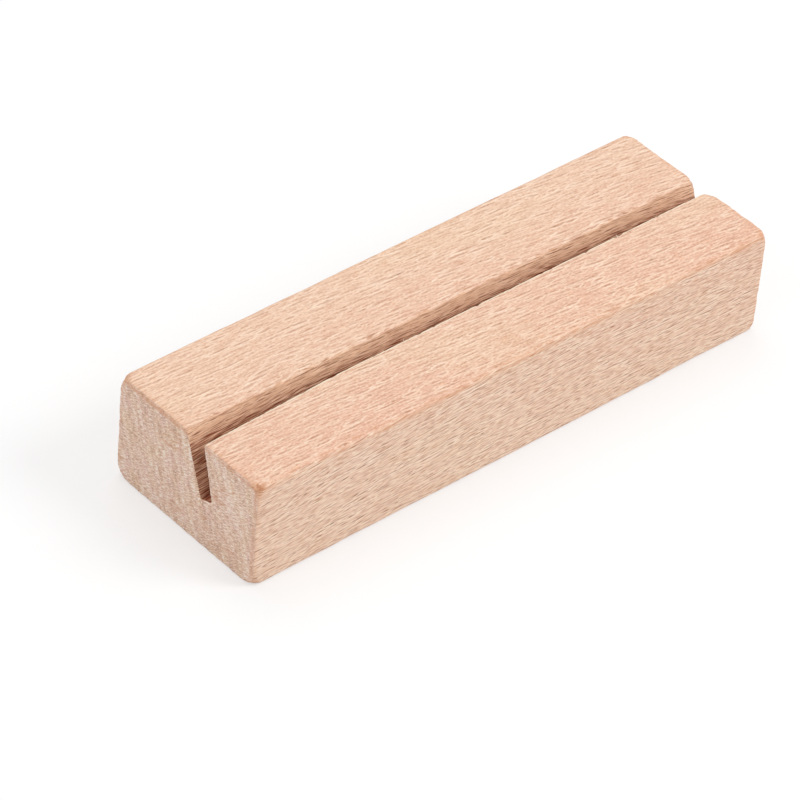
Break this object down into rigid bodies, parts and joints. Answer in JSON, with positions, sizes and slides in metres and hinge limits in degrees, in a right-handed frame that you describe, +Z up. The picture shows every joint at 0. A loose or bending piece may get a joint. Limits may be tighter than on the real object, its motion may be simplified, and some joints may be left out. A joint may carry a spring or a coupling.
{
  "type": "wooden photo block holder",
  "caption": "Solid beech block with a narrow leaning saw slot along its top, which holds a photo or card upright.",
  "frame": {"origin": "middle of the bottom face", "axes": "+X along the block and its slot, -Y towards the narrower front rail, +Z up"},
  "size_m": [0.08, 0.025, 0.015],
  "materials": {
    "beech_wood": "sanded bare wood, matt"
  },
  "bodies": {
    "root": {"slotted_block": "beech_wood"}
  },
  "joints": []
}
